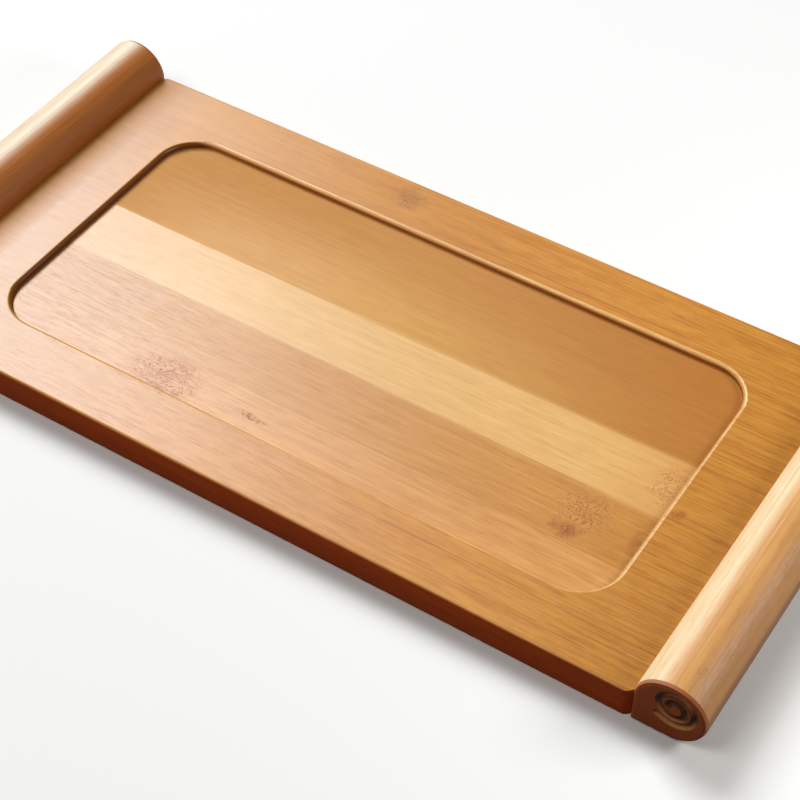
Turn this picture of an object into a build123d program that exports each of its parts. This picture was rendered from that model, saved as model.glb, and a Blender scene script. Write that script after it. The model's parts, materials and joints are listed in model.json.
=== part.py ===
"""Bamboo tea tray in the form of an unrolled scroll.

A flat board of two bamboo plies, glued up from strips, has one shallow rounded
recess for the cups, a little nearer to its right end. A round scroll roll of
four glued staves stands along each short end, with a spiral groove in both of
its end faces, and three dowels in each joint hold the roll to the board.
Nothing moves.

Millimetres. +X runs along the board, +Y to the back, +Z up. The origin is the
middle of the underside.
"""
from build123d import *
import math
import os

# Board
board_length = 258.2  # between the two rolls
board_width = 140.0
top_ply = 5.35
bottom_ply = 5.35
board_corner_radius = 3.2  # the four corners beside the roll ends, in plan
top_edge_round = 0.9
base_edge_round = 0.5

# Strips that the plies are glued up from: whole ones between two that are ripped to fit
whole_strip_count = 5
top_front_strip_width = 14.1
top_back_strip_width = 16.4
bottom_front_strip_width = 9.5  # staggers the lower joints against the upper ones

# Recess
side_rim = 20.8  # board left between the recess and a long side
left_end_rim = 24.4  # board left between the recess and the left roll
right_end_rim = 21.6
recess_depth = 2.2
recess_corner_radius = 13.5
rim_round = 1.3
floor_round = 0.5

# Scroll rolls
roll_diameter = 21.4
roll_end_round = 1.3
roll_stave_count = 4

# Spiral groove in the roll ends, as shares of the roll's radius
spiral_offset_share = 0.11  # spiral centre, away from the board
spiral_rise_share = 0.26  # spiral centre, above the roll's axis
spiral_turn_share = 0.55  # radius of the first half turn
spiral_pitch_share = 0.26  # from one turn to the next
groove_share = 0.82  # width of the groove in one pitch
groove_depth_share = 1.0  # depth of the groove in half its width
spiral_half_turns = 3
lead_in_angle = 38.0  # arc before the first half turn, in degrees
lead_out_angle = 95.0  # arc after the last half turn, in degrees

# Dowels in the joints between board and rolls
dowel_diameter = 4.0
dowel_board_depth = 11.0
dowel_roll_depth = 8.6
dowel_place_shares = (-43 / 70, 0, 43 / 70)  # across the board, in half its width
glue_gap = 0.06

# How far a cutting solid runs past what it cuts
overrun = 5.0

board_thickness = bottom_ply + top_ply
roll_radius = roll_diameter / 2
roll_axis_x = board_length / 2 + roll_radius
whole_strip_width = (board_width - top_front_strip_width - top_back_strip_width) / whole_strip_count


def rounded_slab(length, width, corner_radius, height):
    """A slab on z = 0 whose upright corners are rounded."""
    return extrude(RectangleRounded(length, width, corner_radius), height)


def board_blank():
    """The board before the recess, with its long edges eased."""
    section = Plane.YZ * Pos(0, board_thickness / 2) * Rectangle(board_width, board_thickness)
    corners = section.vertices().group_by(Axis.Z)
    section = fillet(corners[-1], top_edge_round)
    section = fillet(section.vertices().group_by(Axis.Z)[0], base_edge_round)
    bar = extrude(section, board_length / 2, both=True)
    plan = rounded_slab(board_length, board_width, board_corner_radius, board_thickness)
    return bar & plan


def cut_recess(board):
    """Routs the recess and rounds its rim and the edge of its floor."""
    length = board_length - left_end_rim - right_end_rim
    width = board_width - 2 * side_rim
    cutter = rounded_slab(length, width, recess_corner_radius, recess_depth + overrun)
    board = board - Pos((left_end_rim - right_end_rim) / 2, 0, board_thickness - recess_depth) * cutter
    floor = board.faces().filter_by(Plane.XY).group_by(Axis.Z)[1]
    board = fillet(floor.edges(), floor_round)
    top = board.faces().filter_by(Plane.XY).group_by(Axis.Z)[-1][0]
    return fillet(top.inner_wires()[0].edges(), rim_round)


def spiral_arcs():
    """The spiral as arcs about two centres, seen along +Y on the right roll.

    Each arc has the height of its centre, its radius, its start angle and its sweep.
    """
    pitch = spiral_pitch_share * roll_radius
    radius = spiral_turn_share * roll_radius
    lift = pitch / 4
    arcs = [(lift, radius + pitch / 2, 270 - lead_in_angle, lead_in_angle)]
    for turn in range(spiral_half_turns + 1):
        height = lift if turn % 2 else -lift
        turn_sweep = 180 if turn < spiral_half_turns else lead_out_angle
        arcs.append((height, radius - turn * pitch / 2, 270 + turn * 180, turn_sweep))
    return arcs


def spiral_point(arc, angle):
    """The point of one arc at an angle, in the plane of the roll's end."""
    height, radius = arc[:2]
    return (radius * math.cos(math.radians(angle)), 0, height + radius * math.sin(math.radians(angle)))


def groove_cutter():
    """What a pointed engraving bit sweeps along the spiral, cutting towards +Y from y = 0."""
    pitch = spiral_pitch_share * roll_radius
    half_width = groove_share * pitch / 2
    depth = groove_depth_share * half_width
    # The bit stands out of the roll by less than would reach the next turn.
    rise = (pitch / 2 - half_width) / 2
    bit_radius = half_width * (1 + rise / depth)
    section = Polygon((-bit_radius, -rise), (bit_radius, -rise), (0, depth), align=None)
    bit = revolve(Polygon((0, -rise), (bit_radius, -rise), (0, depth), align=None), Axis.Y, 360)
    arcs = spiral_arcs()
    first, last = arcs[0], arcs[-1]
    groove = Pos(*spiral_point(first, first[2])) * bit
    groove = groove + Pos(*spiral_point(last, last[2] + last[3])) * bit
    for height, radius, start, turn_sweep in arcs:
        bend = revolve(Pos(radius, 0) * section, -Axis.Y, turn_sweep)
        groove = groove + Pos(0, 0, height) * Rot(0, -start, 0) * bend
    return groove


def ease_end(bar, side):
    """Rounds the edges of one end of a bar along Y, as two flats that a round would touch."""
    half_tangent = math.tan(math.radians(90 / 4))
    to_middle = roll_end_round * (1 - math.cos(math.radians(90 / 2)))
    first = half_tangent * roll_end_round
    second = roll_end_round - first
    end = bar.faces().sort_by(Axis.Y)[side]
    bar = chamfer(end.edges(), first, roll_end_round, reference=end)
    end = bar.faces().sort_by(Axis.Y)[side]
    return chamfer(end.edges(), second, math.hypot(first - to_middle, to_middle), reference=end)


def roll_blank():
    """The right roll: round, but square where it meets the board and the base."""
    at_axis = Pos(roll_axis_x, roll_radius)
    heel = Pos(roll_axis_x - roll_radius / 2, roll_radius / 2) * Rectangle(roll_radius, roll_radius)
    section = Plane.XZ * (at_axis * Circle(roll_radius) + heel)
    bar = extrude(section, board_width / 2, both=True)
    return ease_end(ease_end(bar, 0), -1)


def dowel_places():
    """Where the dowels of the right joint cross the joint's plane."""
    return [(board_length / 2, share * board_width / 2, bottom_ply) for share in dowel_place_shares]


def rod(place, radius, into_board, into_roll):
    """A rod along X through a place in the right joint."""
    x, y, z = place
    start = Plane(origin=(x - into_board, y, z), x_dir=(0, 1, 0), z_dir=(1, 0, 0))
    return extrude(start * Circle(radius), into_board + into_roll)


def right_dowels():
    """The dowels of the right joint."""
    radius = dowel_diameter / 2
    return [rod(place, radius, dowel_board_depth, dowel_roll_depth) for place in dowel_places()]


def right_dowel_holes():
    """Drilled holes of the right joint, with room for glue all round."""
    radius = dowel_diameter / 2 + glue_gap
    into_board = dowel_board_depth + glue_gap
    into_roll = dowel_roll_depth + glue_gap
    return [rod(place, radius, into_board, into_roll) for place in dowel_places()]


def ply_joints(front_strip_width):
    """Where a ply's glue joints and long sides lie, from the front."""
    front_joint = front_strip_width - board_width / 2
    joints = [front_joint + step * whole_strip_width for step in range(whole_strip_count + 1)]
    return [-board_width / 2] + joints + [board_width / 2]


def cut_strips(board, joints, bottom, top):
    """Cuts the board at its glue joints, front to back, between two heights."""
    strips = []
    for index, (front, back) in enumerate(zip(joints, joints[1:])):
        front_reach = overrun if index == 0 else 0
        back_reach = overrun if index == len(joints) - 2 else 0
        width = back - front + front_reach + back_reach
        middle = (front - front_reach + back + back_reach) / 2
        room = Box(board_length + 2 * overrun, width, top - bottom)
        strips.append(board & Pos(0, middle, (bottom + top) / 2) * room)
    return strips


def cut_staves(roll):
    """Cuts the right roll at its upright glue joints, from the board outwards."""
    staves = []
    thickness = roll_diameter / roll_stave_count
    for index in range(roll_stave_count):
        middle = board_length / 2 + (index + 1 / 2) * thickness
        room = Box(thickness, board_width + 2 * overrun, roll_diameter + 2 * overrun)
        staves.append(roll & Pos(middle, 0, roll_radius) * room)
    return staves


def build_board():
    """The board with its recess and dowel holes, still in one piece."""
    board = cut_recess(board_blank())
    for hole in right_dowel_holes():
        board = board - hole - mirror(hole, Plane.YZ)
    return board


def build_roll():
    """The right roll with its grooves and dowel holes, still in one piece."""
    roll = roll_blank()
    centre_x = roll_axis_x + spiral_offset_share * roll_radius
    centre_z = roll_radius + spiral_rise_share * roll_radius
    front_groove = Pos(centre_x, -board_width / 2, centre_z) * groove_cutter()
    roll = roll - front_groove - mirror(front_groove, Plane.XZ)
    for hole in right_dowel_holes():
        roll = roll - hole
    return roll


def write(name, solids):
    """One STEP file for one node."""
    export_step(Compound(children=solids) if len(solids) > 1 else solids[0], f"parts/{name}.step")


def named_strips(strips, ply):
    """Names strips of one ply by number from the front."""
    return {f"{ply}_strip_{number}": strip for number, strip in enumerate(strips, start=1)}


def main():
    board = build_board()
    bottom_joints = ply_joints(bottom_front_strip_width)
    top_joints = ply_joints(top_front_strip_width)
    nodes = named_strips(cut_strips(board, bottom_joints, 0, bottom_ply), "bottom")
    nodes.update(named_strips(cut_strips(board, top_joints, bottom_ply, board_thickness), "top"))
    stave_names = ("board_side", "inner", "outer", "outside")
    for name, stave in zip(stave_names, cut_staves(build_roll())):
        nodes[f"right_roll_{name}_stave"] = stave
        nodes[f"left_roll_{name}_stave"] = mirror(stave, Plane.YZ)
    for name, solid in nodes.items():
        write(name, [solid.solid()])
    dowels = right_dowels()
    write("right_joint_dowels", [dowel.solid() for dowel in dowels])
    write("left_joint_dowels", [mirror(dowel, Plane.YZ).solid() for dowel in dowels])


main()
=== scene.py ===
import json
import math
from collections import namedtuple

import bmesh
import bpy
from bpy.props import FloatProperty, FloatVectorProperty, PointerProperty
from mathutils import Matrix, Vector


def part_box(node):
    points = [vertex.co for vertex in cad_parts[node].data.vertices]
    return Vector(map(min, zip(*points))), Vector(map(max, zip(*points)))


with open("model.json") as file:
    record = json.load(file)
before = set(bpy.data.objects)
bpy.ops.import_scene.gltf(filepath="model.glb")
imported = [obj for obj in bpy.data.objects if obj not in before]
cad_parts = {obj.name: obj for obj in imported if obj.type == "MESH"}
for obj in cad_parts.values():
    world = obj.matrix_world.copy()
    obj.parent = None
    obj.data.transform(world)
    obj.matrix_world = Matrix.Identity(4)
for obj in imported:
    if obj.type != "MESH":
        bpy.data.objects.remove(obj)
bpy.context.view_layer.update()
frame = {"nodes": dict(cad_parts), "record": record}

# The finish and the stage of a bamboo tea tray in the form of an unrolled scroll.
#
# The frame holds every piece at its real size and place, so this script gives each one its bamboo
# and sets the camera, lamps and floor. Lengths are metres, with +X along the board, +Y to the back
# and +Z up, and the origin is the middle of the underside. The patterns are laid out in
# millimetres on each piece's own coordinates, so the grain runs through a piece and shows as dots
# where a face cuts across it.

bl_info = {
    "name": "Bamboo Tea Tray",
    "version": (1, 0, 0),
    "blender": (4, 5, 0),
    "location": "3D View > Sidebar > Tea Tray",
    "description": "Gives a bamboo tea tray its finish and its stage",
    "category": "Object",
}

MM = 0.001
PER_METRE = 1 / MM

# What the frame says about the tray. The last two are in millimetres.
BOARD_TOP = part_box("top_strip_1")[1].z
STRIP_NUMBERS = range(1, 8)
TOP_STRIPS = [f"top_strip_{number}" for number in STRIP_NUMBERS]
BOTTOM_STRIPS = [f"bottom_strip_{number}" for number in STRIP_NUMBERS]
STAVES = ("board_side", "inner", "outer", "outside")
MOUNTS = {mount["name"]: mount for mount in frame["record"]["mounts"]}
RECESS_FLOOR = MOUNTS["recess_floor"]["pos_m"][2] / MM
ROLL_AXIS_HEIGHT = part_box("right_roll_inner_stave")[1].z / 2 / MM

# The figure of the bamboo, from 0 in the darkest streaks to 1 in the palest: the value that it
# starts from, what each pattern adds where it is full, and the mean, at which a tone shows
# unchanged
FIGURE_START = 0.31
FIGURE_STEPS = {"fine": 0.34, "broad": 0.28, "cloud": 0.20, "dark": -0.55, "bundles": -0.14}
FIGURE_MEAN = 0.57

# The noise at which a streak of each pattern begins and is full
STREAK_NOISE = {
    "fine": (0.34, 0.66), "broad": (0.34, 0.66), "cloud": (0.30, 0.70), "dark": (0.56, 0.70)}
FLECK_NOISE = (0.40, 0.70)

# Length and width of the broad streaks, in those of the fine ones
BROAD_SHARES = (3, 4.5)

# Length and width of the clouds of tone and of the flecks, in millimetres
CLOUD_SIZE = (46, 14)
FLECK_SIZE = (16, 4)

# How far from its middle a fibre bundle begins and is full, in spacings of the bundles
BUNDLE_EDGE = (0.44, 0.16)

# How far from a glue joint its line begins and is full, in millimetres
GLUE_LINE_EDGE = (0.40, 0.08)

# How far the figure moves on from one piece to the next, in millimetres, so that no two match
TOP_STRIP_SHIFT = Vector((90, 0, 7))
BOTTOM_STRIP_SHIFT = Vector((70, 0, 7))
STAVE_SHIFT = Vector((60, 0, 11))
BOTTOM_PLY_SHIFT = Vector((0, 0, 100))
ROLL_SHIFT = Vector((400, 0, 0))

# Tints: what a coat makes of the colour under it, as shares of red, green, blue and alpha
DARK_STREAK = (0.80, 0.58, 0.34, 1)
LIGHT_STREAK = (1.22, 1.30, 1.48, 1)
# Painted shade on the board's long sides, darkest and reddest on the front side, where it also
# paints the reflection of a dark ground
PAINTED_FRONT_SHADE = (1.06, 0.38, 0.02, 1)
PAINTED_SIDE_SHADE = (0.74, 0.60, 0.42, 1)
# Painted shade on the recess walls and on faces that look right
RECESS_WALL_SHADE = (0.62, 0.44, 0.26, 1)
SHADED_EDGE = (0.42, 0.32, 0.20, 1)
# A painted highlight on the rounded recess edge where it faces the window, and on its front edge
EDGE_HIGHLIGHT = (1.42, 1.90, 4.60, 1)
FRONT_EDGE_HIGHLIGHT = (1.20, 1.60, 4.20, 1)
GLUE_LINE = (0.86, 0.80, 0.72, 1)
GREY_FIBRES = (0.70, 0.48, 0.30, 1)
BROWN_FIBRES = (0.60, 0.42, 0.26, 1)
GREY_PATCH = (0.90, 0.80, 0.66, 1)
BROWN_PATCH = (0.84, 0.72, 0.60, 1)
OLIVE_PATCH = (0.86, 0.86, 0.70, 1)
OLIVE_DASH = (0.84, 0.66, 0.22, 1)
NO_PATCH = (1, 1, 1, 1)

# Where a coat begins and where it is full, by how squarely a face looks along an axis
EASED_ROLL_EDGE_FACES = (0.22, 0.45)
END_FACES = (0.74, 0.90)
# The first places painted light on the spiral; the rest place painted shade on the sides, the
# recess walls and what looks right, and the painted highlight on the recess edge
LIT_GROOVE_FACES = (-0.10, 0.60)
BOARD_SIDE_FACES = (0.80, 0.30)
FRONT_SIDE_FACES = (-0.15, -0.60)
RECESS_WALL_FACES = (0.60, 0.20)
RECESS_EDGE_FACES = (0.9995, 0.985)
RIGHT_LOOKING_FACES = (0.08, 0.45)
BACK_LOOKING_FACES = (0.03, 0.20)

# The same by place, in millimetres: heights, places along the board, and distances from a middle
RECESS_FLOOR_HEIGHTS = (RECESS_FLOOR + 0.6, RECESS_FLOOR + 0.1)
EDGE_HIGHLIGHT_HEIGHTS = (RECESS_FLOOR + 0.9, RECESS_FLOOR + 1.2)
FLECK_HEIGHTS = (15.5, 18.0)
CONTRAST_PLACES = (-90, 100)
RUBBED_PLACES = (-124, -117)
TURNED_RADII = (9.0, 8.8)
INNER_TURNS_RADII = (4.9, 4.3)

# The middle of a spiral, outwards and upwards from the roll's axis, in millimetres
SPIRAL_OFFSET = 1.2
SPIRAL_RISE = 2.8

# How much some coats show: the painted light left on the spiral's inner turns, which are
# painted in shade, the painted shade of the recess's front wall, and the flecks
INNER_TURNS_LIGHT = 0.12
FRONT_WALL_SHARE = 0.3
FLECK_SHARE = 0.4

# The varnish is satin, and its roughness varies by the second value with the fine streaks. It is
# duller where short fibres soak it up, and dullest on end grain and the board's long sides. Bare
# bamboo lies between. The relief of the figure is in metres.
VARNISH_IOR = 1.5
STREAK_ROUGHNESS = 0.05
KNUCKLE_ROUGHNESS = 0.5
SIDE_ROUGHNESS = 0.9
BARE_ROUGHNESS = 0.7
RELIEF = 0.018 * MM

# How strong the figure is. The rim has one value for its left end, where the figure is faint, and
# one for its right end.
RIM_CONTRAST = (0.5, 1.35)
CLEAR_CONTRAST = 0.8
FAINT_CONTRAST = 0.5
SOAKED_CONTRAST = 0.35
ROLL_CONTRAST = 0.6
PLAIN_CONTRAST = 1.0

# A finish: its tone, the drifts of that tone, and the contrast of its figure and its roughness,
# which are numbers or pairs for the left and the right end of the board
Finish = namedtuple("Finish", "tone drifts contrast roughness")

# A drift: the tone that it ends in, and the two places on an axis between which it comes in, in
# millimetres
Drift = namedtuple("Drift", "tone axis start end")

# A turned end of a roll: the tone of its face, the tones of the spiral's walls that look down and
# up, which paint shade and light, and where the roll's axis is, in millimetres from the middle of
# the board
End = namedtuple("End", "tone low high axis")

# One point of a piece's surface, as outputs of nodes: its place in millimetres, the same place by
# axis, its place with X turned along the grain, and which way its face looks
Surface = namedtuple("Surface", "place axes grain normal")

# A coat of a material: how much it shows, its colour, how that blends, and its roughness if it
# has its own
Coat = namedtuple("Coat", "amount colour blend roughness", defaults=("MULTIPLY", None))

# Where a stem joint shows in a piece, in millimetres: its middle, half its length and width, the
# length and spacing of its short fibres, the angle in degrees at which they lie, and the tints of
# the fibres and of the patch round them
Knuckle = namedtuple("Knuckle", "middle reach fibre angle fibres patch")
KNUCKLES = {
    "top_strip_2": [
        Knuckle((-43.5, -42.5), (16, 11), (5.4, 3.2), 40, GREY_FIBRES, GREY_PATCH),
        Knuckle((-43, -48.5), (4.5, 1.8), (4, 2), 0, BROWN_FIBRES, BROWN_PATCH),
        Knuckle((-12.7, -42.6), (9, 1.5), (12, 4), 0, BROWN_FIBRES, OLIVE_DASH)],
    "top_strip_3": [
        Knuckle((88, -21.5), (12, 12), (5.6, 3.0), 40, BROWN_FIBRES, NO_PATCH),
        Knuckle((86.5, -29.5), (6.5, 4.5), (3, 1.6), 10, BROWN_FIBRES, BROWN_PATCH),
        Knuckle((105, -23), (2.5, 5), (1.5, 1.4), 0, GREY_FIBRES, GREY_PATCH)],
    "top_strip_4": [
        Knuckle((103.5, 0), (7, 9.5), (5.2, 3.0), 50, BROWN_FIBRES, NO_PATCH),
        Knuckle((111.5, -9.5), (3.2, 2.6), (3.5, 1.3), -10, BROWN_FIBRES, BROWN_PATCH)],
    "top_strip_7": [
        Knuckle((-23.6, 62), (8, 7), (4, 2.2), 0, BROWN_FIBRES, OLIVE_PATCH)],
    "right_roll_outer_stave": [
        Knuckle((143.2, -61), (2.4, 4.5), (1.1, 1.8), 0, BROWN_FIBRES, NO_PATCH)],
}

# The short fibres of every stem joint: how far they bend, in millimetres, and how far from its
# middle a fibre begins and is full, in spacings of the fibres
FIBRE_BEND = 6
SHORT_FIBRE_EDGE = (0.40, 0.17)

# The patch that they lie in: half its height in millimetres, which is far more than a piece's, how
# ragged it is, and how far from its middle it begins and is full, both as shares of its reach
PATCH_HALF_HEIGHT = 40
PATCH_RAGGEDNESS = 0.9
PATCH_EDGE = (1.45, 0.75)

# The noise that bends the fibres and the one that frays the patch, in waves to the millimetre, and
# the detail of both, which keeps them soft
BEND_NOISE = 0.25
RAGGED_NOISE = 0.35
SOFT_DETAIL = 1.0

# The lamps: where each stands, the point that it is turned to, and its width and height, in
# metres. The card stands close beside the right roll.
Lamp = namedtuple("Lamp", "place target size")
LAMPS = {
    "window": Lamp((-1.25, 0.76, 1.38), (0, 0, BOARD_TOP), (0.86, 0.86)),
    "sky": Lamp((-0.45, -0.55, 1.20), (0, 0, BOARD_TOP), (0.60, 0.60)),
    "card": Lamp((0.38, 0.10, 0.21), (0.149, 0, BOARD_TOP), (0.16, 0.12)),
}
WHITE = (1, 1, 1, 1)

# The floor's half section, from its middle to the top of the backdrop, in metres, the steps that
# it is spun in, and how near its points are when they count as one
FLOOR_PROFILE = (
    (0, 0, 0), (2.6, 0, 0), (3.0, 0, 0.06), (3.3, 0, 0.22), (3.5, 0, 0.5), (3.6, 0, 1.0))
FLOOR_STEPS = 96
WELD_DISTANCE = 0.01 * MM


def linear(hex_colour):
    """An sRGB hex colour as linear red, green, blue and alpha."""
    shares = [int(hex_colour[place:place + 2], 16) / 255 for place in (1, 3, 5)]
    return [s / 12.92 if s <= 0.04045 else ((s + 0.055) / 1.055) ** 2.4 for s in shares] + [1.0]


def colour_property(name, hex_colour, description):
    """A colour that a user may change."""
    return FloatVectorProperty(
        name=name, description=description, subtype="COLOR", size=4, min=0, max=1,
        default=linear(hex_colour))


class TrayColours(bpy.types.PropertyGroup):
    """Colours of the varnished bamboo."""

    rim: colour_property("Rim", "#C78430", "Upper faces of the strips, darkened to one tone")
    # Paler at the left of the back rim: a painted highlight
    rim_back_highlight: colour_property("Rim back", "#CA8B3C", "Left part of the rim along the back")
    # The rim end tone also paints the shade beside the left roll
    rim_end: colour_property("Rim end", "#B57827", "Rim and plainer floors at the board's ends")
    honey: colour_property("Honey", "#CE914A", "Recess floor next to the front rim")
    amber: colour_property("Amber", "#C5883D", "Recess floor in front of the middle")
    straw: colour_property("Straw", "#DEAF68", "Recess floor in the palest strip")
    caramel: colour_property("Caramel", "#DAA669", "Recess floor in the two strips behind it")
    syrup: colour_property("Syrup", "#D6A258", "The same two strips past the middle of the board")
    toffee: colour_property("Toffee", "#C28843", "The same two strips by the back and left rims")
    russet: colour_property("Russet", "#AB6915", "The same two strips towards their right end")
    base: colour_property("Lower ply", "#BE802E", "Darkest strips of the lower ply")
    # The rolls' tones also paint light and shade: each roll is paler on its left side, which faces
    # the window, and darker to its right and at its foot
    cream_painted_light: colour_property("Cream", "#F1D4A2", "Palest staves of the right roll")
    ivory_painted_light: colour_property("Ivory", "#E4CFAC", "Palest staves of the left roll")
    wheat: colour_property("Wheat", "#D29A57", "Top of the right roll")
    tan: colour_property("Tan", "#C38A49", "Outer side of the right roll")
    walnut_painted_shade: colour_property("Walnut", "#94602F", "Foot of the right roll, on its outer side")
    fleck: colour_property("Flecks", "#BE9E8A", "Flecks on the outer side of the right roll")
    chestnut_painted_shade: colour_property("Chestnut", "#B46C2A", "Left roll on the board's side")
    end_grain: colour_property("End grain", "#A85220", "Turned end faces of the rolls")
    # The spiral's walls: painted light where they look up, painted shade where they look down
    groove_painted_light: colour_property("Groove, lit side", "#D08A52", "Spiral walls that look up")
    groove_painted_shade: colour_property("Groove, dark side", "#3A1609", "Spiral walls that look down")
    dowel: colour_property("Dowel", "#D3A765", "Bare bamboo of the hidden dowels")


class TrayGrain(bpy.types.PropertyGroup):
    """Real sizes of the bamboo's figure and the gloss of its varnish."""

    fibre_width: FloatProperty(
        name="Fibre width", description="Width of one fine streak",
        unit="LENGTH", default=0.95 * MM)
    fibre_length: FloatProperty(
        name="Fibre length", description="Length of one fine streak",
        unit="LENGTH", default=80 * MM)
    streak_width: FloatProperty(
        name="Streak width", description="Width of one dark streak",
        unit="LENGTH", default=0.8 * MM)
    streak_length: FloatProperty(
        name="Streak length", description="Length of one dark streak",
        unit="LENGTH", default=50 * MM)
    bundle_spacing: FloatProperty(
        name="Bundle spacing", description="From one fibre bundle to the next",
        unit="LENGTH", default=1.2 * MM)
    bundle_length: FloatProperty(
        name="Bundle length", description="How far a bundle stays in a cut face",
        unit="LENGTH", default=30 * MM)
    varnish_roughness: FloatProperty(
        name="Varnish roughness", description="Satin varnish over sanded bamboo",
        subtype="FACTOR", default=0.29)
    roll_roughness: FloatProperty(
        name="Roll roughness", description="Thinner varnish over the rolls and the lower ply",
        subtype="FACTOR", default=0.46)
    rubbed_roughness: FloatProperty(
        name="Rubbed roughness",
        description="Beside the left roll, where wiping has dulled the varnish",
        subtype="FACTOR", default=0.46)
    soaked_roughness: FloatProperty(
        name="Soaked roughness", description="Where the recess floor has soaked the varnish up",
        subtype="FACTOR", default=0.80)


class TrayStage(bpy.types.PropertyGroup):
    """Camera, lamps and floor."""

    lens: FloatProperty(
        name="Lens", description="Focal length in millimetres", default=90.6)
    camera_place: FloatVectorProperty(
        name="Camera place", description="Where the camera stands",
        subtype="TRANSLATION", unit="LENGTH", default=(0.2414, -0.3547, 0.4428))
    camera_target: FloatVectorProperty(
        name="Camera target", description="Point of the board in the middle of the picture",
        subtype="TRANSLATION", unit="LENGTH", default=(0.02214, -0.01492, BOARD_TOP))
    window_radiance: FloatProperty(
        name="Window", description="Brightness of the softbox at the back left", default=16.8)
    sky_radiance: FloatProperty(
        name="Sky", description="Brightness of the softbox high at the front left", default=4.6)
    card_radiance: FloatProperty(
        name="Card", description="Brightness of the small card beside the right roll",
        default=10.0)
    room_radiance: FloatProperty(
        name="Room", description="Brightness of the room all round", default=0.08)
    daylight: colour_property("Daylight", "#F6FBFF", "Slightly cool light of the window softbox")
    floor: colour_property("Floor", "#F9F7F3", "Pale floor as the camera sees it")
    floor_bounce: colour_property("Floor bounce", "#6B5A4A", "Floor as bounced light sees it")


def add(tree, kind, inputs=None, **settings):
    """Adds a node with its settings. Each input takes a value, or another node's output."""
    node = tree.nodes.new(kind)
    for name, value in settings.items():
        setattr(node, name, value)
    for name, value in (inputs or {}).items():
        if isinstance(value, bpy.types.NodeSocket):
            tree.links.new(value, node.inputs[name])
        else:
            node.inputs[name].default_value = value
    return node


def new_material(name):
    """An empty node material and its tree."""
    material = bpy.data.materials.new(name)
    material.use_nodes = True
    material.node_tree.nodes.clear()
    return material, material.node_tree


def surface_of(tree, along, shift):
    """A point of a surface, with its grain along X or Y and the figure moved by a shift."""
    coordinates = add(tree, "ShaderNodeTexCoord").outputs
    place = add(
        tree, "ShaderNodeMapping",
        {"Vector": coordinates["Object"], "Scale": (PER_METRE,) * 3}).outputs["Vector"]
    axes = add(tree, "ShaderNodeSeparateXYZ", {"Vector": place}).outputs
    turn = -math.pi / 2 if along == "Y" else 0
    grain = add(
        tree, "ShaderNodeMapping",
        {"Vector": place, "Location": shift, "Rotation": (0, 0, turn)}).outputs["Vector"]
    return Surface(place, axes, grain, coordinates["Normal"])


def streaks(tree, grain, length, width, noise_edge):
    """Noise drawn out along the grain, as 0 to 1. The length and width are in millimetres."""
    stretch = add(
        tree, "ShaderNodeMapping",
        {"Vector": grain, "Scale": (1 / length, 1 / width, 1 / width)}).outputs["Vector"]
    noise = add(tree, "ShaderNodeTexNoise", {"Vector": stretch}).outputs["Fac"]
    return add(
        tree, "ShaderNodeMapRange",
        {"Value": noise, "From Min": noise_edge[0], "From Max": noise_edge[1]},
        interpolation_type="SMOOTHSTEP").outputs["Result"]


def fibre_bundles(tree, grain, length, spacing):
    """Fibre bundles as 0 to 1: thin dashes on a long face and dots on end grain.

    The length and spacing are in millimetres.
    """
    stretch = add(
        tree, "ShaderNodeMapping",
        {"Vector": grain, "Scale": (1 / length, 1 / spacing, 1 / spacing)}).outputs["Vector"]
    away = add(tree, "ShaderNodeTexVoronoi", {"Vector": stretch}).outputs["Distance"]
    return add(
        tree, "ShaderNodeMapRange",
        {"Value": away, "From Min": BUNDLE_EDGE[0], "From Max": BUNDLE_EDGE[1]},
        interpolation_type="SMOOTHSTEP").outputs["Result"]


def bamboo_figure(tree, grain, settings):
    """The figure at its plain contrast, and the fine streaks by themselves."""
    fine_size = (settings.fibre_length / MM, settings.fibre_width / MM)
    sizes = {
        "fine": fine_size,
        "broad": (fine_size[0] * BROAD_SHARES[0], fine_size[1] * BROAD_SHARES[1]),
        "cloud": CLOUD_SIZE,
        "dark": (settings.streak_length / MM, settings.streak_width / MM),
    }
    patterns = {
        name: streaks(tree, grain, *size, STREAK_NOISE[name]) for name, size in sizes.items()}
    patterns["bundles"] = fibre_bundles(
        tree, grain, settings.bundle_length / MM, settings.bundle_spacing / MM)
    figure = FIGURE_START
    for name, pattern in patterns.items():
        figure = add(
            tree, "ShaderNodeMath", {0: pattern, 1: FIGURE_STEPS[name], 2: figure},
            operation="MULTIPLY_ADD").outputs["Value"]
    return figure, patterns["fine"]


def facing(tree, normal, axis, faces, either_way=False):
    """How far a face looks to the positive end of an axis, or to either end, as 0 to 1."""
    share = add(tree, "ShaderNodeSeparateXYZ", {"Vector": normal}).outputs[axis]
    if either_way:
        share = add(tree, "ShaderNodeMath", {0: share}, operation="ABSOLUTE").outputs["Value"]
    return add(
        tree, "ShaderNodeMapRange",
        {"Value": share, "From Min": faces[0], "From Max": faces[1]},
        interpolation_type="SMOOTHSTEP").outputs["Result"]


def within(tree, place, x, z, radii):
    """What lies round a line along Y, as 0 outside one radius to 1 inside the other."""
    flat = add(
        tree, "ShaderNodeVectorMath", {0: place, 1: (1, 0, 1)},
        operation="MULTIPLY").outputs["Vector"]
    away = add(
        tree, "ShaderNodeVectorMath", {0: flat, 1: (x, 0, z)},
        operation="DISTANCE").outputs["Value"]
    return add(
        tree, "ShaderNodeMapRange",
        {"Value": away, "From Min": radii[0], "From Max": radii[1]}).outputs["Result"]


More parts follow.
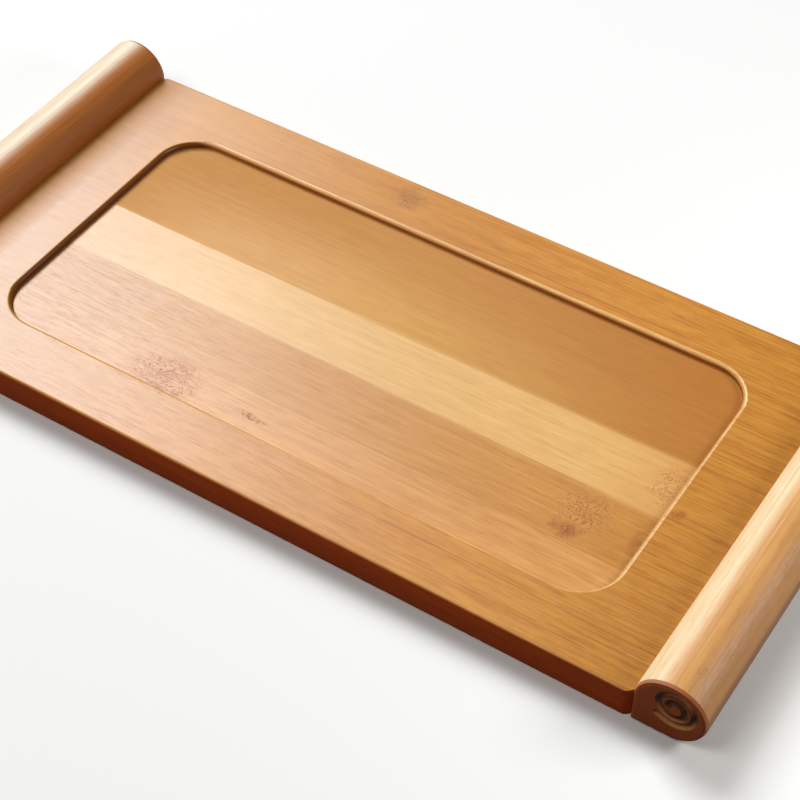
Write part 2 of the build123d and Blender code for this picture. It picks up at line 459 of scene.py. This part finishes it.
def finish_values(tree, axes, finish):
    """The tone, contrast and roughness of a finish, as they change over a piece."""
    tone = finish.tone
    for drift in finish.drifts:
        beyond = add(
            tree, "ShaderNodeMapRange",
            {"Value": axes[drift.axis], "From Min": drift.start, "From Max": drift.end},
            interpolation_type="SMOOTHSTEP").outputs["Result"]
        tone = add(
            tree, "ShaderNodeMix", {"Factor": beyond, "A": tone, "B": drift.tone},
            data_type="RGBA").outputs["Result"]
    values = [tone]
    for value, places in ((finish.contrast, CONTRAST_PLACES), (finish.roughness, RUBBED_PLACES)):
        if isinstance(value, tuple):
            value = add(
                tree, "ShaderNodeMapRange",
                {"Value": axes["X"], "From Min": places[0], "From Max": places[1],
                 "To Min": value[0], "To Max": value[1]}).outputs["Result"]
        values.append(value)
    return values


def finish_over_floor(tree, axes, finish, floor):
    """The tone, contrast and roughness of a finish, and those of another on the recess floor."""
    low = add(
        tree, "ShaderNodeMapRange",
        {"Value": axes["Z"], "From Min": RECESS_FLOOR_HEIGHTS[0],
         "From Max": RECESS_FLOOR_HEIGHTS[1]}).outputs["Result"]
    pairs = zip(finish_values(tree, axes, finish), finish_values(tree, axes, floor))
    return [
        add(tree, "ShaderNodeMix", {"Factor": low, "A": above, "B": below},
            data_type=kind).outputs["Result"]
        for kind, (above, below) in zip(("RGBA", "FLOAT", "FLOAT"), pairs)]


def fleck_coat(tree, surface, tone):
    """Flecks on the upper part of a roll's outer side."""
    flecks = streaks(tree, surface.grain, *FLECK_SIZE, FLECK_NOISE)
    upper = add(
        tree, "ShaderNodeMapRange",
        {"Value": surface.axes["Z"], "From Min": FLECK_HEIGHTS[0], "From Max": FLECK_HEIGHTS[1],
         "To Max": FLECK_SHARE}).outputs["Result"]
    amount = add(
        tree, "ShaderNodeMath", {0: flecks, 1: upper}, operation="MULTIPLY").outputs["Value"]
    return Coat(amount, tone, "MIX")


def end_coats(tree, surface, end):
    """A roll's turned end: eased edge, spiral in painted light and shade, and flat face."""
    edge = facing(tree, surface.normal, "Y", EASED_ROLL_EDGE_FACES, either_way=True)
    face = facing(tree, surface.normal, "Y", END_FACES, either_way=True)
    turned = within(tree, surface.place, end.axis, ROLL_AXIS_HEIGHT, TURNED_RADII)
    inner_turns = within(
        tree, surface.place, end.axis + math.copysign(SPIRAL_OFFSET, end.axis),
        ROLL_AXIS_HEIGHT + SPIRAL_RISE, INNER_TURNS_RADII)
    # Painted light and shade in the spiral: paler where a wall looks up, darker where it looks
    # down, and mostly dark in the inner turns
    lit = facing(tree, surface.normal, "Z", LIT_GROOVE_FACES)
    lit = add(
        tree, "ShaderNodeMix",
        {"Factor": inner_turns, "A": lit, "B": INNER_TURNS_LIGHT}).outputs["Result"]
    spiral = add(
        tree, "ShaderNodeMix", {"Factor": lit, "A": end.low, "B": end.high},
        data_type="RGBA").outputs["Result"]
    return [
        Coat(edge, end.tone, "MIX"),
        Coat(turned, spiral, "MIX", SIDE_ROUGHNESS),
        Coat(face, end.tone, "MIX", SIDE_ROUGHNESS)]


def recess_light_and_shade_coats(tree, surface):
    """The recess: painted highlight on its edge, painted shade on its wall and what looks right.

    The front wall, which looks back, has less painted shade than the others.
    """
    looks_right = facing(tree, surface.normal, "X", RIGHT_LOOKING_FACES)
    looks_back = facing(tree, surface.normal, "Y", BACK_LOOKING_FACES)
    # A painted highlight on the rounded edge, left off where it looks right, away from the window
    high = add(
        tree, "ShaderNodeMapRange",
        {"Value": surface.axes["Z"], "From Min": EDGE_HIGHLIGHT_HEIGHTS[0],
         "From Max": EDGE_HIGHLIGHT_HEIGHTS[1]},
        interpolation_type="SMOOTHSTEP").outputs["Result"]
    tilted = facing(tree, surface.normal, "Z", RECESS_EDGE_FACES, either_way=True)
    edge_highlight = add(
        tree, "ShaderNodeMath", {0: high, 1: tilted}, operation="MULTIPLY").outputs["Value"]
    edge_highlight = add(
        tree, "ShaderNodeMix", {"Factor": looks_right, "A": edge_highlight, "B": 0.0}).outputs["Result"]
    edge_highlight_tint = add(
        tree, "ShaderNodeMix", {"Factor": looks_back, "A": EDGE_HIGHLIGHT, "B": FRONT_EDGE_HIGHLIGHT},
        data_type="RGBA").outputs["Result"]
    # Painted shade on the wall, less on the front wall, which faces the window
    upright = facing(tree, surface.normal, "Z", RECESS_WALL_FACES, either_way=True)
    darkened = add(
        tree, "ShaderNodeMix",
        {"Factor": looks_back, "A": 1.0, "B": FRONT_WALL_SHARE}).outputs["Result"]
    wall = add(
        tree, "ShaderNodeMath", {0: upright, 1: darkened},
        operation="MULTIPLY").outputs["Value"]
    return [Coat(edge_highlight, edge_highlight_tint), Coat(wall, RECESS_WALL_SHADE), Coat(looks_right, SHADED_EDGE)]


def side_shade_coat(tree, surface):
    """Painted shade on the board's long sides, darker than its top and redder in front."""
    upright = facing(tree, surface.normal, "Z", BOARD_SIDE_FACES, either_way=True)
    # In front the tint also paints the reflection of a dark ground
    front = facing(tree, surface.normal, "Y", FRONT_SIDE_FACES)
    tint = add(
        tree, "ShaderNodeMix", {"Factor": front, "A": PAINTED_SIDE_SHADE, "B": PAINTED_FRONT_SHADE},
        data_type="RGBA").outputs["Result"]
    return Coat(upright, tint, "MULTIPLY", SIDE_ROUGHNESS)


def glue_coat(tree, across, joint, contrast):
    """A thin line along a glue joint, as strong as the figure. Its place is in millimetres."""
    away = add(
        tree, "ShaderNodeMath", {0: across, 1: joint}, operation="SUBTRACT").outputs["Value"]
    away = add(tree, "ShaderNodeMath", {0: away}, operation="ABSOLUTE").outputs["Value"]
    line = add(
        tree, "ShaderNodeMapRange",
        {"Value": away, "From Min": GLUE_LINE_EDGE[0],
         "From Max": GLUE_LINE_EDGE[1]}).outputs["Result"]
    amount = add(
        tree, "ShaderNodeMath", {0: line, 1: contrast}, operation="MULTIPLY").outputs["Value"]
    return Coat(amount, GLUE_LINE)


def knuckle_coats(tree, place, knuckle):
    """A stem joint: its short fibres, which take up varnish, and the patch that they lie in."""
    noise = add(
        tree, "ShaderNodeTexNoise",
        {"Vector": place, "Scale": BEND_NOISE, "Detail": SOFT_DETAIL}).outputs["Color"]
    swirl = add(
        tree, "ShaderNodeMapping",
        {"Vector": noise, "Scale": (FIBRE_BEND, FIBRE_BEND, 0)}).outputs["Vector"]
    bent = add(
        tree, "ShaderNodeVectorMath", {0: place, 1: swirl}, operation="ADD").outputs["Vector"]
    turned = add(
        tree, "ShaderNodeMapping",
        {"Vector": bent, "Rotation": (0, 0, math.radians(knuckle.angle)),
         "Scale": (*knuckle.fibre, 1)},
        vector_type="TEXTURE").outputs["Vector"]
    from_fibre = add(
        tree, "ShaderNodeTexVoronoi", {"Vector": turned},
        voronoi_dimensions="2D").outputs["Distance"]
    fibres = add(
        tree, "ShaderNodeMapRange",
        {"Value": from_fibre, "From Min": SHORT_FIBRE_EDGE[0], "From Max": SHORT_FIBRE_EDGE[1]},
        interpolation_type="SMOOTHSTEP").outputs["Result"]
    centred = add(
        tree, "ShaderNodeMapping",
        {"Vector": place, "Location": (*knuckle.middle, 0),
         "Scale": (*knuckle.reach, PATCH_HALF_HEIGHT)},
        vector_type="TEXTURE").outputs["Vector"]
    from_middle = add(
        tree, "ShaderNodeVectorMath", {0: centred}, operation="LENGTH").outputs["Value"]
    ragged = add(
        tree, "ShaderNodeTexNoise",
        {"Vector": place, "Scale": RAGGED_NOISE, "Detail": SOFT_DETAIL}).outputs["Fac"]
    from_middle = add(
        tree, "ShaderNodeMath", {0: ragged, 1: PATCH_RAGGEDNESS, 2: from_middle},
        operation="MULTIPLY_ADD").outputs["Value"]
    patch = add(
        tree, "ShaderNodeMapRange",
        {"Value": from_middle, "From Min": PATCH_EDGE[0], "From Max": PATCH_EDGE[1]},
        interpolation_type="SMOOTHSTEP").outputs["Result"]
    shown = add(
        tree, "ShaderNodeMath", {0: patch, 1: fibres}, operation="MULTIPLY").outputs["Value"]
    return [
        Coat(shown, knuckle.fibres, "MULTIPLY", KNUCKLE_ROUGHNESS),
        Coat(patch, knuckle.patch)]


def coated(tree, colour, roughness, coats):
    """A colour and a roughness under coats that are laid one over the other."""
    for coat in coats:
        colour = add(
            tree, "ShaderNodeMix", {"Factor": coat.amount, "A": colour, "B": coat.colour},
            data_type="RGBA", blend_type=coat.blend).outputs["Result"]
        if coat.roughness is not None:
            roughness = add(
                tree, "ShaderNodeMix",
                {"Factor": coat.amount, "A": roughness, "B": coat.roughness}).outputs["Result"]
    return colour, roughness


def bamboo(name, settings, finish, along="X", shift=(0, 0, 0), floor=None, end=None, joints=(),
           knuckles=(), fleck=None):
    """Carbonised laminated bamboo, planed and sanded, under satin varnish.

    To the eye it is a warm honey brown with fine brown streaks along the grain, darker and dotted
    where the grain ends, with a broad soft gloss. The floor of the recess is freshly routed, so
    each strip has a finish of its own there, and where the varnish has soaked in it is matt and
    its figure is faint.
    """
    material, tree = new_material(name)
    surface = surface_of(tree, along, shift)
    figure, fine = bamboo_figure(tree, surface.grain, settings)
    if floor:
        tone, contrast, roughness = finish_over_floor(tree, surface.axes, finish, floor)
    else:
        tone, contrast, roughness = finish_values(tree, surface.axes, finish)
    away = add(
        tree, "ShaderNodeMath", {0: figure, 1: FIGURE_MEAN},
        operation="SUBTRACT").outputs["Value"]
    figure = add(
        tree, "ShaderNodeMath", {0: away, 1: contrast, 2: FIGURE_MEAN},
        operation="MULTIPLY_ADD").outputs["Value"]
    figure_tint = add(
        tree, "ShaderNodeMix", {"Factor": figure, "A": DARK_STREAK, "B": LIGHT_STREAK},
        data_type="RGBA").outputs["Result"]
    roughness = add(
        tree, "ShaderNodeMath", {0: fine, 1: STREAK_ROUGHNESS, 2: roughness},
        operation="MULTIPLY_ADD").outputs["Value"]
    coats = []
    if fleck:
        coats.append(fleck_coat(tree, surface, fleck))
    coats.append(Coat(1.0, figure_tint))
    if end:
        coats += end_coats(tree, surface, end)
    if floor:
        coats += recess_light_and_shade_coats(tree, surface)
    elif along == "X":
        coats.append(side_shade_coat(tree, surface))
    across = surface.axes["Y" if along == "X" else "X"]
    for joint in joints:
        coats.append(glue_coat(tree, across, joint, contrast))
    for knuckle in knuckles:
        coats += knuckle_coats(tree, surface.place, knuckle)
    colour, roughness = coated(tree, tone, roughness, coats)
    bump = add(tree, "ShaderNodeBump", {"Height": figure, "Distance": RELIEF, "Strength": 1.0})
    shader = add(
        tree, "ShaderNodeBsdfPrincipled",
        {"Base Color": colour, "Roughness": roughness, "IOR": VARNISH_IOR,
         "Normal": bump.outputs["Normal"]})
    add(tree, "ShaderNodeOutputMaterial", {"Surface": shader.outputs["BSDF"]})
    return material


def finish_node(node, material):
    """Gives one piece of the frame its material."""
    frame["nodes"][node].material_slots[0].material = material


def joints_of(node, axis):
    """Where the two long glue joints of a piece lie, in millimetres."""
    low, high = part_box(node)
    return low[axis] / MM, high[axis] / MM


class TEATRAY_OT_top_ply(bpy.types.Operator):
    """Finishes the strips of the upper ply, which show in the rims and the recess"""

    bl_idname = "tea_tray.top_ply"
    bl_label = "Upper ply"

    def execute(self, context):
        colours = context.scene.tray_colours
        grain = context.scene.tray_grain
        rim, back_rim = self.rims(colours, grain)
        floors = self.floors(colours, grain)
        for number, node in zip(STRIP_NUMBERS, TOP_STRIPS):
            finish = back_rim if node == TOP_STRIPS[-1] else rim
            finish_node(node, bamboo(
                f"varnished_bamboo_{node}", grain, finish, shift=TOP_STRIP_SHIFT * number,
                floor=floors.get(node), joints=joints_of(node, 1),
                knuckles=KNUCKLES.get(node, ())))
        return {"FINISHED"}

    def rims(self, colours, grain):
        """The finish of the upper faces, and the paler one of the strip along the back."""
        shared = (
            Drift(colours.rim_end, "X", -20, -120),
            Drift(colours.rim, "Y", -30, 50),
            Drift(colours.rim_end, "X", 70, 130))
        roughness = (grain.rubbed_roughness, grain.varnish_roughness)
        # The last drift of each rim darkens it beside the left roll: painted shade
        rim = (*shared, Drift(colours.rim_end, "X", -104, -118))
        back_rim = (
            *shared,
            # Paler at the left of the back rim: a painted highlight
            Drift(colours.rim_back_highlight, "X", -25, -75),
            Drift(colours.rim_end, "X", -106, -124))
        return [Finish(colours.rim, drifts, RIM_CONTRAST, roughness) for drifts in (rim, back_rim)]

    def floors(self, colours, grain):
        """The finish of the recess floor in each strip. The two at the back have soaked it up."""
        left_end = Drift(colours.rim_end, "X", -20, -120)
        soaked = (
            Drift(colours.syrup, "X", -50, 10),
            Drift(colours.toffee, "Y", 10, 46),
            Drift(colours.russet, "X", -30, 140),
            Drift(colours.toffee, "X", -60, -120))
        amber = (
            left_end,
            Drift(colours.rim_end, "X", 80, 140),
            Drift(colours.straw, "Y", -13.6, -10.6))
        straw = (
            Drift(colours.honey, "X", 75, 125),
            Drift(colours.honey, "X", -40, -120))
        blended = (*soaked, Drift(colours.straw, "Y", 11.6, 8.6))
        clear = grain.varnish_roughness
        matt = grain.soaked_roughness
        return {
            "top_strip_2": Finish(colours.honey, (left_end,), CLEAR_CONTRAST, clear),
            "top_strip_3": Finish(colours.amber, amber, CLEAR_CONTRAST, clear),
            "top_strip_4": Finish(colours.straw, straw, FAINT_CONTRAST, clear),
            "top_strip_5": Finish(colours.caramel, blended, SOAKED_CONTRAST, matt),
            "top_strip_6": Finish(colours.caramel, soaked, SOAKED_CONTRAST, matt),
        }


class TEATRAY_OT_lower_ply(bpy.types.Operator):
    """Finishes the strips of the lower ply, which show on the edges and underneath"""

    bl_idname = "tea_tray.lower_ply"
    bl_label = "Lower ply"

    def execute(self, context):
        colours = context.scene.tray_colours
        grain = context.scene.tray_grain
        tones = (
            colours.base, colours.honey, colours.base, colours.amber, colours.caramel,
            colours.base, colours.rim)
        for number, (node, tone) in enumerate(zip(BOTTOM_STRIPS, tones)):
            finish_node(node, bamboo(
                f"varnished_bamboo_{node}", grain,
                Finish(tone, (), PLAIN_CONTRAST, grain.roll_roughness),
                shift=BOTTOM_PLY_SHIFT + BOTTOM_STRIP_SHIFT * number,
                joints=joints_of(node, 1)))
        return {"FINISHED"}


class TEATRAY_OT_rolls(bpy.types.Operator):
    """Finishes the staves of the two scroll rolls"""

    bl_idname = "tea_tray.rolls"
    bl_label = "Scroll rolls"

    def execute(self, context):
        colours = context.scene.tray_colours
        grain = context.scene.tray_grain
        for side_number, side in enumerate(("left", "right")):
            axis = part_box(f"{side}_roll_inner_stave")[side_number].x / MM
            end = End(colours.end_grain, colours.groove_painted_shade, colours.groove_painted_light, axis)
            for number, stave in enumerate(STAVES):
                node = f"{side}_roll_{stave}_stave"
                joints = sorted(joints_of(node, 0), key=abs)
                tone, drifts = self.tones(colours, side, stave, joints)
                flecked = node == "right_roll_outside_stave"
                finish_node(node, bamboo(
                    f"turned_bamboo_{node}", grain,
                    Finish(tone, drifts, ROLL_CONTRAST, grain.roll_roughness),
                    along="Y", shift=ROLL_SHIFT * side_number + STAVE_SHIFT * number, end=end,
                    joints=joints, knuckles=KNUCKLES.get(node, ()),
                    fleck=colours.fleck if flecked else None))
        return {"FINISHED"}

    def tones(self, colours, side, stave, joints):
        """The tone of a stave at the joint nearer the board, and how it changes outwards."""
        near, far = joints
        # Painted light and shade: each roll is paler on its left side, towards the window, and
        # darker to its right and at its foot, so the left roll is darkest by the board and the
        # right roll palest
        if side == "left":
            if stave == "board_side":
                return colours.chestnut_painted_shade, ()
            if stave == "inner":
                return colours.chestnut_painted_shade, (Drift(colours.ivory_painted_light, "X", near - 0.8, near - 6.4),)
            return colours.ivory_painted_light, ()
        if stave == "board_side":
            return colours.cream_painted_light, ()
        if stave == "inner":
            return colours.cream_painted_light, (Drift(colours.wheat, "X", near, near + 4.2),)
        if stave == "outer":
            return colours.wheat, (Drift(colours.tan, "X", near, far),)
        # Darker at the foot of the outer side: painted shade
        return colours.tan, (Drift(colours.walnut_painted_shade, "Z", 14.6, 12.2),)


class TEATRAY_OT_dowels(bpy.types.Operator):
    """Finishes the hidden dowels between the board and the rolls"""

    bl_idname = "tea_tray.dowels"
    bl_label = "Dowels"

    def execute(self, context):
        grain = context.scene.tray_grain
        tone = context.scene.tray_colours.dowel
        finish = Finish(tone, (), PLAIN_CONTRAST, BARE_ROUGHNESS)
        for side in ("left", "right"):
            node = f"{side}_joint_dowels"
            finish_node(node, bamboo(f"bare_bamboo_{node}", grain, finish))
        return {"FINISHED"}


def aimed(obj, place, target):
    """Puts a camera or lamp at a place and turns it to a point."""
    obj.location = place
    obj.rotation_mode = "QUATERNION"
    obj.rotation_quaternion = (Vector(target) - Vector(place)).to_track_quat("-Z", "Y")
    bpy.context.scene.collection.objects.link(obj)


def softbox(name, radiance, colour):
    """A softbox of a given brightness, which lights and is mirrored but isn't seen itself."""
    place, target, size = LAMPS[name]
    lamp = bpy.data.lights.new(name, "AREA")
    lamp.shape = "RECTANGLE"
    lamp.size, lamp.size_y = size
    lamp.energy = radiance * math.pi * size[0] * size[1]
    lamp.color = colour[:3]
    holder = bpy.data.objects.new(name, lamp)
    holder.visible_camera = False
    aimed(holder, place, target)


def floor_material(stage):
    """Matt pale paint. The camera and the gloss see it pale, and its bounced light is dimmer."""
    material, tree = new_material("matt_paint_floor")
    path = add(tree, "ShaderNodeLightPath").outputs
    seen = path["Is Camera Ray"]
    for ray in ("Is Glossy Ray", "Is Transmission Ray"):
        seen = add(
            tree, "ShaderNodeMath", {0: seen, 1: path[ray]}, operation="MAXIMUM").outputs["Value"]
    colour = add(
        tree, "ShaderNodeMix", {"Factor": seen, "A": stage.floor_bounce, "B": stage.floor},
        data_type="RGBA").outputs["Result"]
    shader = add(tree, "ShaderNodeBsdfDiffuse", {"Color": colour})
    add(tree, "ShaderNodeOutputMaterial", {"Surface": shader.outputs["BSDF"]})
    return material


def studio_floor(material):
    """A round floor whose edge sweeps up to a low backdrop."""
    mesh = bmesh.new()
    points = [mesh.verts.new(point) for point in FLOOR_PROFILE]
    lines = [mesh.edges.new(pair) for pair in zip(points, points[1:])]
    bmesh.ops.spin(
        mesh, geom=points + lines, cent=(0, 0, 0), axis=(0, 0, 1), angle=2 * math.pi,
        steps=FLOOR_STEPS, use_merge=True)
    bmesh.ops.remove_doubles(mesh, verts=mesh.verts, dist=WELD_DISTANCE)
    bmesh.ops.recalc_face_normals(mesh, faces=mesh.faces)
    for face in mesh.faces:
        face.smooth = True
    data = bpy.data.meshes.new("studio_floor")
    mesh.to_mesh(data)
    mesh.free()
    data.materials.append(material)
    floor = bpy.data.objects.new("studio_floor", data)
    bpy.context.scene.collection.objects.link(floor)
    return floor


class TEATRAY_OT_stage(bpy.types.Operator):
    """Sets the floor, the lamps and the camera"""

    bl_idname = "tea_tray.stage"
    bl_label = "Stage"

    def execute(self, context):
        stage = context.scene.tray_stage
        studio_floor(floor_material(stage))
        softbox("window", stage.window_radiance, stage.daylight)
        softbox("sky", stage.sky_radiance, WHITE)
        softbox("card", stage.card_radiance, WHITE)
        world = bpy.data.worlds.new("room")
        world.use_nodes = True
        background = world.node_tree.nodes["Background"]
        background.inputs["Color"].default_value = WHITE
        background.inputs["Strength"].default_value = stage.room_radiance
        context.scene.world = world
        camera = bpy.data.cameras.new("camera")
        camera.lens = stage.lens
        holder = bpy.data.objects.new("camera", camera)
        aimed(holder, stage.camera_place, stage.camera_target)
        context.scene.camera = holder
        context.scene.view_settings.view_transform = "Standard"
        return {"FINISHED"}


class TEATRAY_PT_panel(bpy.types.Panel):
    """Lists the pieces of the tray and their settings"""

    bl_idname = "TEATRAY_PT_panel"
    bl_label = "Bamboo tea tray"
    bl_space_type = "VIEW_3D"
    bl_region_type = "UI"
    bl_category = "Tea Tray"

    def draw(self, context):
        for operator in OPERATORS:
            self.layout.operator(operator.bl_idname)
        for group_name in GROUPS:
            group = getattr(context.scene, group_name)
            box = self.layout.box()
            for name in group.__annotations__:
                box.prop(group, name)


OPERATORS = (
    TEATRAY_OT_stage, TEATRAY_OT_top_ply, TEATRAY_OT_lower_ply, TEATRAY_OT_rolls,
    TEATRAY_OT_dowels)
GROUPS = {"tray_colours": TrayColours, "tray_grain": TrayGrain, "tray_stage": TrayStage}
CLASSES = (*GROUPS.values(), *OPERATORS, TEATRAY_PT_panel)


def register():
    for entry in CLASSES:
        bpy.utils.register_class(entry)
    for name, group in GROUPS.items():
        setattr(bpy.types.Scene, name, PointerProperty(type=group))


def unregister():
    for name in GROUPS:
        delattr(bpy.types.Scene, name)
    for entry in reversed(CLASSES):
        bpy.utils.unregister_class(entry)


def main():
    register()
    bpy.ops.tea_tray.stage()
    bpy.ops.tea_tray.top_ply()
    bpy.ops.tea_tray.lower_ply()
    bpy.ops.tea_tray.rolls()
    bpy.ops.tea_tray.dowels()


if __name__ == "__main__":
    main()
